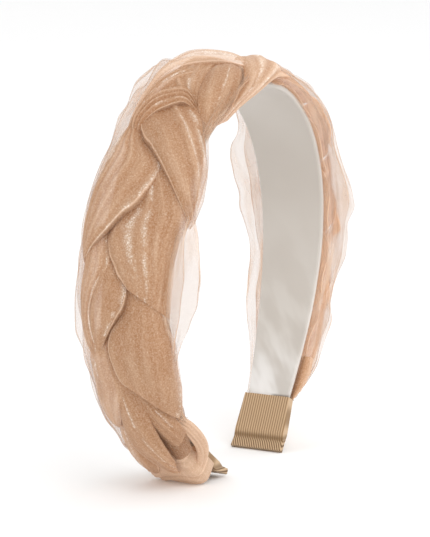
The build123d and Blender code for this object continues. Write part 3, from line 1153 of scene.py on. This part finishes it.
def braidCuff(side, material):
    look = cuffLook
    own = look[side]
    share = np.linspace(0, 1, look["rows"])
    start, end = own["span"]
    fromTip = start + (end - start) * share
    s = fromTip if side == "left" else arch["length"] - fromTip
    pocket = np.where(fromTip < ribbon["length"], ribbonWidth(fromTip), 0)
    seat = np.maximum(pocket, bandWidth(s))[:, None] / 2 + tail["clearance"]
    back, front, top = [smoothTable(own[field], share)[:, None] for field in ("back", "front", "top")]
    s, fromTip, top = s[:, None], fromTip[:, None], ribbonOuter + top
    angle = np.linspace(0, np.pi, look["around"])
    cosine, sine = np.cos(angle), np.sin(angle)
    y = np.sign(cosine) * np.abs(cosine) ** own["squareness"] * np.where(cosine > 0, back, front)
    frontLeg, backLeg = own["legs"]
    leg = np.where(cosine < 0, frontLeg, backLeg)
    h = leg + (top - leg) * sine ** own["squareness"]
    # folds that run slantwise round the cuff, each layer a step over the next
    lean, bend, straight = look["slant"]
    slant = fromTip + lean * y + bend * (y - straight) ** 2
    relief = 0.0
    hem = 0.0
    for i in range(look["folds"]):
        past = slant - (own["firstFold"] + own["gap"] * i)
        relief = relief + look["foldStep"] * layerOver(past, look["sharp"], own["gap"] * look["fade"])
        # the folds' edges: a denser doubled layer with a painted highlight line
        hem = hem + 0.5 * own["seams"] * bell(past - look["hemShift"], look["hemWidth"])
    soft = waves(own["seed"], slant, y, *look["soft"])
    relief = relief * own["seams"] - look["foldStep"] * 0.5 + look["softDepth"] * soft
    relief = relief * sine**0.5
    square = (1 - partWay(share * look["rows"], 0, look["roundRows"])[:, None]) ** 2
    flat = 1 - np.sqrt(1 - square)
    middle = ribbonOuter + look["roof"]
    h = np.where(h > middle, middle + (h + relief - middle) * (1 - look["roundHigh"] * flat), h)
    y = y * (1 - look["roundWide"] * flat) + np.sign(y) * relief * np.abs(cosine) * look["sideRelief"]

    def withInner(values, inner):
        # the outside's columns, then the four along the inside
        outside = np.broadcast_to(values, (len(s), len(angle)))
        return np.concatenate([outside, np.broadcast_to(inner, (len(s), 4))], axis=1)

    laid = dict(
        ridgeShading=withInner(ridgeShadingOf(soft), 0),
        hem=withInner(np.clip(hem, 0, 1), 0),
        # painted shading: its level outside and inside
        pressed=withInner(own["pressed"], look["innerShading"]),
        dense=withInner(1 - own["backThin"] * (y > 0), 1),
        # painted glow (emission); the far cuff's is brighter
        through=own["through"],
    )
    cloth = withInner(angle * look["clothTurn"], look["innerCloth"]), fromTip
    y = withInner(y, seat * [-1, -1, 1, 1])
    h = withInner(h, [frontLeg, middle, middle, backLeg])
    places = onArch(s, y, h)
    cuff = gridPiece(f"braid_cuff_{side}", places, cloth, laid, material, closed=True, capped=True)
    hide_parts(f"braid_tail_{side}")


# The strap of cloth that loops from the braid's front edge down to the left cuff
loop = dict(
    rows=[     # s, y, h, width and thickness in mm
        (47.5, -5, 7.6, 4.2, 1.6),
        (45.2, -9.2, 5.8, 4.6, 2.2),
        (42, -12, 4.6, 5, 2.6),
        (37.5, -13.2, 3.8, 5.2, 2.8),
        (32, -13.2, 3, 5.2, 2.8),
        (27, -12.6, 2.8, 5, 2.8),
        (22.5, -11.6, 4, 4.8, 2.6),
        (19, -9.8, 6.4, 4.6, 2.2),
        (16.5, -7.6, 9.2, 4.2, 1.8),
    ],
    stations=120,
    around=64,
    faceTurn=0.9,      # radians
    flatness=0.8,
    seed=501,
    soft=((2.0, 5.0), 40.0, 6),
    softWidth=6,
    softShare=0.22,
    # level of the painted shading
    pressed=0.95,
    # painted glow (emission) of the strap
    through=0.18,
)


def clothLoop(material):
    look = loop
    s, y, h, width, thick = [part[:, None] for part in through(look["rows"], look["stations"]).T]
    middle = onArch(s, y, h)
    ahead = unit(np.gradient(middle, axis=0))
    side = unit(np.cross(ahead, unit(onArch(s, y, h + 1) - middle)))
    face = np.cross(side, ahead)
    turn = look["faceTurn"]
    side, face = (
        side * np.cos(turn) + face * np.sin(turn),
        face * np.cos(turn) - side * np.sin(turn),
    )
    angle = np.linspace(0, 2 * np.pi, look["around"], endpoint=False)
    soft = waves(look["seed"], np.cos(angle) * look["softWidth"], s, *look["soft"])
    across = np.cos(angle) * width / 2
    lift = np.sign(np.sin(angle)) * np.abs(np.sin(angle)) ** look["flatness"]
    lift = lift * thick / 2 * (1 + look["softShare"] * soft)
    places = middle + (side * across[..., None] + face * lift[..., None]) * mm
    laid = dict(ridgeShading=ridgeShadingOf(soft), hem=0, pressed=look["pressed"], dense=1, through=look["through"])
    cloth = angle * width / look["softWidth"], s
    piece = gridPiece("braid_loop", places, cloth, laid, material, closed=True, capped=True)


# Finishes
organzaLook = dict(
    body=paint(176, 133, 98),
    # painted shade of the gathers' valleys, and a darker random tone
    shadeAndTone=paint(162, 114, 76),
    # painted shade where the cloth lies tucked or squeezed
    fold=paint(142, 96, 60),
    # painted highlight, and the pale tone of the grain and streaks
    light=paint(238, 211, 186),
    seam=paint(198, 148, 106),
    # colour of the painted glints of the glitter thread
    sparkle=paint(255, 246, 232),
    edgeCover=0.32,        # how much a strand's thin edge hides
    fullCover=0.88,
    layerCover=0.18,       # how much one loose layer hides
    streaks=(0.5, 0.04),   # noise turns for each mm of the cloth, across and along it
    threads=(2.4, 0.07),
    weave=1500.0,          # noise turns for each metre
    clouds=60.0,
    grains=1900.0,
    patches=190.0,
    looseGlitter=0.22,
    glitterShare=0.75,
    bump=(0.3, 0.0005),    # strength, and metres
)


def organzaFinish(name, packed):
    # packed is for a strand's many layers, otherwise it is for one loose layer
    look = organzaLook
    cloth = Finish(
        name,
        Sheen_Weight=0.1,
        Sheen_Roughness=0.35,
        Specular_IOR_Level=0.3,
        Emission_Strength=1.0,
    )
    ridgeShading, hem, pressed = [cloth.laid(field) for field in ("ridgeShading", "hem", "pressed")]
    streaks = cloth.noise(1.0, where=cloth.clothPlace(*look["streaks"]))
    threads = cloth.noise(1.0, 2.0, 0.6, cloth.clothPlace(*look["threads"]))
    weave = cloth.noise(look["weave"], 3.0, 0.7)
    clouds = cloth.noise(look["clouds"])
    grains = cloth.noise(look["grains"], 1.0)
    patches = cloth.noise(look["patches"], 2.0, 0.6).ramp(0.38, 0.58)
    # painted highlight along the gathers' crests
    crestHighlight = streaks.ramp(0.42, 0.68) * ridgeShading.ramp(0.35, 0.95)
    # painted glints of the glitter thread: dense in its streaks, scattered elsewhere
    glint = (grains.ramp(0.46, 0.64) * 0.6 + 0.22) * cloth.laid("glitterGlints") * patches
    glint = glint + grains.ramp(0.60, 0.72) * look["looseGlitter"]
    if packed:
        # painted shade where the cloth lies tucked or squeezed
        shade = cloth.mix(pressed.ramp(-0.05, 0.6), look["fold"], look["body"])
        # painted shade in the gathers' valleys, with darker random tone from clouds and threads
        low = (1 - ridgeShading.ramp(0.1, 0.6)) * 0.32 + clouds.ramp(0.42, 0.62) * 0.42
        low = low + (1 - threads.ramp(0.3, 0.5)) * 0.15
        # painted highlight on raised folds, gather crests and crisp fold edges, with lighter threads
        high = pressed.ramp(0.5, 1.05) * 0.42 + crestHighlight * 0.16 + threads.ramp(0.5, 0.72) * 0.12 + hem * 0.3
        lit = cloth.mix(high, cloth.mix(low, shade, look["shadeAndTone"]), look["light"])
        cover = cloth.laid("dense") * (look["fullCover"] - look["edgeCover"]) + look["edgeCover"]
        cover = cover + hem * 0.2 + (weave - 0.5) * 0.1
    else:
        lit = cloth.mix(streaks.ramp(0.4, 0.7) * 0.5 + 0.25, look["body"], look["light"])
        lit = cloth.mix(hem * 0.8, lit, look["seam"])
        cover = streaks.ramp(0.46, 0.7) * 0.25 + hem * 0.5 + (weave - 0.5) * 0.12 + look["layerCover"]
    colour = cloth.mix(weave - 0.5 + 0.08, lit, look["light"])
    colour = cloth.mix(glint * look["glitterShare"], colour, look["sparkle"])
    # painted glow: the cloth emits its own colour as strongly as its through field says, for light through
    # the cloth
    lit = cloth.mix(cloth.laid("through"), (0, 0, 0, 1), colour)
    cloth.give(Base_Color=colour, Emission_Color=lit, Roughness=0.6 - glint * 0.25, Alpha=cover)
    cloth.give(Normal=cloth.bump(weave * 0.35 + streaks * 0.6, *look["bump"]))
    return cloth.material


satinLook = dict(
    face=paint(190, 182, 173),
    bright=paint(214, 209, 202),
    glare=paint(244, 243, 243),
    # painted shade between the puckers' glare
    creaseShade=paint(176, 169, 164),
    # painted highlight along the band's edges
    edge=paint(246, 244, 240),
    glareSpan=(0.046, 0.019),   # metres up: the puckers' painted glare and painted shade by the pocket grow from the first to the second
    lowSheen=(0.10, 0.02),      # metres up: the sheen grows from the first to the second
    gap=paint(104, 90, 76),     # the shadow line where the band goes into its ribbon pocket
    gapHeight=0.0012,
    gapSpan=(0.0005, 0.0035),
    gapShare=0.8,
    threads=1800.0,             # noise turns for each metre
    soft=30.0,
    # noise turns for each metre of the puckers' painted glare and shade
    creases=130.0,
    bump=(0.15, 0.0001),        # strength, and metres
)


def satinFinish():
    look = satinLook
    cloth = Finish("silver satin", Sheen_Weight=0.25, Specular_IOR_Level=0.5, Anisotropic=0.4)
    threads = cloth.noise(look["threads"])
    soft = cloth.noise(look["soft"])
    x, y, z = cloth.parts(cloth.place())
    mouth = float(onArch(arch["length"] - ribbon["length"], 0.0, 0.0)[2])
    line = 1 - ((z - mouth) / look["gapHeight"]).size().ramp(0.2, 1.0)
    line = line * (0 - y).ramp(*look["gapSpan"]) * (x > 0.0)
    low, mouthNear = [1 - z.ramp(*look[field][::-1]) for field in ("lowSheen", "glareSpan")]
    facing = cloth.parts(cloth.node("ShaderNodeTexCoord", output="Normal"))
    # painted highlight on the band's side faces, stronger low down
    edge = facing[1].size().ramp(0.8, 0.98)
    slanted = cloth.node("ShaderNodeCombineXYZ", None, {0: x * 0.3, 1: y - z * 0.6, 2: z * 0.5})
    # puckers in colour only: painted sheen and glare on them, painted shade between them, low down by the
    # pocket
    paintedCreaseLight = cloth.noise(look["creases"], where=slanted).ramp(0.36, 0.7)
    sheen = soft.ramp(0.3, 0.8) * 0.3 + low * (paintedCreaseLight * 0.7 + 0.15)
    colour = cloth.mix(sheen, look["face"], look["bright"])
    colour = cloth.mix(mouthNear * (1 - paintedCreaseLight) * 0.12, colour, look["creaseShade"])
    colour = cloth.mix(mouthNear * (paintedCreaseLight * 0.5 + 0.08), colour, look["glare"])
    colour = cloth.mix(line * look["gapShare"], colour, look["gap"])
    cloth.give(
        Base_Color=cloth.mix(edge * (0.2 + low * 0.3), colour, look["edge"]),
        Roughness=0.36 + threads * 0.08,
        Normal=cloth.bump(threads, *look["bump"]),
    )
    return cloth.material


ribbonLook = dict(
    rib=paint(198, 168, 134),
    grooveShade=paint(150, 118, 82),
    shadow=paint(112, 82, 48),
    hemTop=0.0052,        # metres up, where the pocket ends and the empty hem bends
    shadowHeight=0.0018,
    shadowShare=0.7,
    hemSlant=0.6,         # how far the ribs lean on the hem
    weave=2200.0,         # noise turns for each metre
    bump=(0.6, 0.0003),   # strength, and metres
)


def ribbonFinish():
    look = ribbonLook
    cloth = Finish("tan grosgrain", Sheen_Weight=0.2, Specular_IOR_Level=0.3)
    y, z = cloth.parts(cloth.place())[1:]
    hem = 1 - z.ramp(look["hemTop"] - look["shadowHeight"], look["hemTop"])
    shadow = 1 - ((z - look["hemTop"]).size() / look["shadowHeight"]).ramp(0.0, 1.0)
    slanted = y + hem * (look["hemTop"] - z) * look["hemSlant"]
    rib = (slanted * (2 * math.pi * ribbon["ribs"] / (ribbon["endWidth"] * mm))).sine() * 0.5 + 0.5
    weave = cloth.noise(look["weave"])
    # painted shade in the grooves between the ribs, darker still on the bent hem
    grooveShade = cloth.mix(hem, look["grooveShade"], look["shadow"])
    colour = cloth.mix(rib.ramp(0.05, 0.7), grooveShade, look["rib"])
    cloth.give(
        Base_Color=cloth.mix(shadow * look["shadowShare"], colour, look["shadow"]),
        Roughness=0.7 + weave * 0.15,
        Normal=cloth.bump(rib + weave * 0.3, *look["bump"]),
    )
    return cloth.material


organza = organzaFinish("gathered organza", True)
sheer = organzaFinish("sheer organza", False)
satin = satinFinish()
grosgrain = ribbonFinish()
print("finishes made")

for number in range(3):
    strandBundle(number, organza)
print("strands made")

allFolds = [dict(plainFold, **fold) for fold in broadFolds + farArmFolds()]
foldShapes = [shapeFold(fold, 800 + 9 * order) for order, fold in enumerate(allFolds)]
foldHeights = mapFolds(foldShapes)
for fold, shape in zip(allFolds, foldShapes):
    organzaFold(fold, shape, foldHeights, organza)
for side in ("back", "front"):
    for layer in range(len(edgeLook["layers"])):
        edgeVeil(side, layer, sheer)
print("folds and sheer edges laid")


def dress(node, material):
    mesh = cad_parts[node].data
    mesh.materials.clear()
    mesh.materials.append(material)


dress("satin_band", satin)
for side in ("left", "right"):
    dress(f"ribbon_tip_{side}", grosgrain)
    braidCuff(side, organza)
clothLoop(organza)
print("band and tips dressed")


# The floor, the light and the camera
studio = dict(
    floor=paint(250, 250, 250),
    floorSize=40.0,
    world=(1.0, 1.0, 1.0, 1.0),
    worldStrength=1.0,
    keyPower=5.0,
    keySize=0.9,
    keyPlace=(-0.55, -0.75, 0.95),
    fillPower=1.5,
    fillPlace=(0.9, -0.3, 0.6),
    aim=(0, 0, 0.08),
)

photoCamera = dict(
    turn=61.709,
    rise=10.534,
    roll=0.248,
    distance=1452.6,
    focus=3829.2,       # the lens in pixels of the photo's height
    frameHeight=537,
    sensor=36.0,
    aimFromLeft=199.35,
    aimRight=-4.087,
    aimUp=-69.991,
    farthest=20.0,      # metres
)


def layFloor():
    bpy.ops.mesh.primitive_plane_add(size=studio["floorSize"])
    floor = bpy.context.object
    floor.name = "studio_floor"
    finish = Finish("pale floor", Roughness=0.9, Specular_IOR_Level=0.1)
    grain = finish.noise(40.0)
    finish.give(Base_Color=finish.mix(grain * 0.1, studio["floor"], paint(244, 244, 244)))
    floor.data.materials.append(finish.material)


def areaLight(name, place, power, size):
    lamp = bpy.data.lights.new(name, "AREA")
    lamp.energy = power
    lamp.size = size
    holder = bpy.data.objects.new(name, lamp)
    holder.location = place
    aim = Vector(studio["aim"]) - Vector(place)
    holder.rotation_euler = aim.to_track_quat("-Z", "Y").to_euler()
    bpy.context.scene.collection.objects.link(holder)


def setCamera():
    view = photoCamera
    turn, rise = math.radians(view["turn"]), math.radians(view["rise"])
    look = Vector((math.sin(turn) * math.cos(rise), math.cos(turn) * math.cos(rise), -math.sin(rise)))
    right = Vector((math.cos(turn), -math.sin(turn), 0))
    anchor = Vector(onArch(np.array(view["aimFromLeft"]), 0.0, 0.0).tolist())
    anchor.y = shift.y
    aim = anchor + right * view["aimRight"] * mm + Vector((0, 0, view["aimUp"] * mm))
    camera = bpy.data.objects.new("camera", bpy.data.cameras.new("camera"))
    camera.location = aim - look * view["distance"] * mm
    camera.rotation_euler = look.to_track_quat("-Z", "Y").to_euler()
    camera.rotation_euler.rotate_axis("Z", math.radians(view["roll"]))
    camera.data.sensor_width = view["sensor"]
    camera.data.lens = view["focus"] / view["frameHeight"] * view["sensor"]
    camera.data.clip_end = view["farthest"]
    bpy.context.scene.collection.objects.link(camera)
    bpy.context.scene.camera = camera


layFloor()
areaLight("key", studio["keyPlace"], studio["keyPower"], studio["keySize"])
areaLight("fill", studio["fillPlace"], studio["fillPower"], studio["keySize"])
world = bpy.data.worlds.new("studio")
world.use_nodes = True
world.node_tree.nodes["Background"].inputs["Color"].default_value = studio["world"]
world.node_tree.nodes["Background"].inputs["Strength"].default_value = studio["worldStrength"]
bpy.context.scene.world = world
bpy.context.scene.view_settings.view_transform = "Standard"
setCamera()
print("studio set")
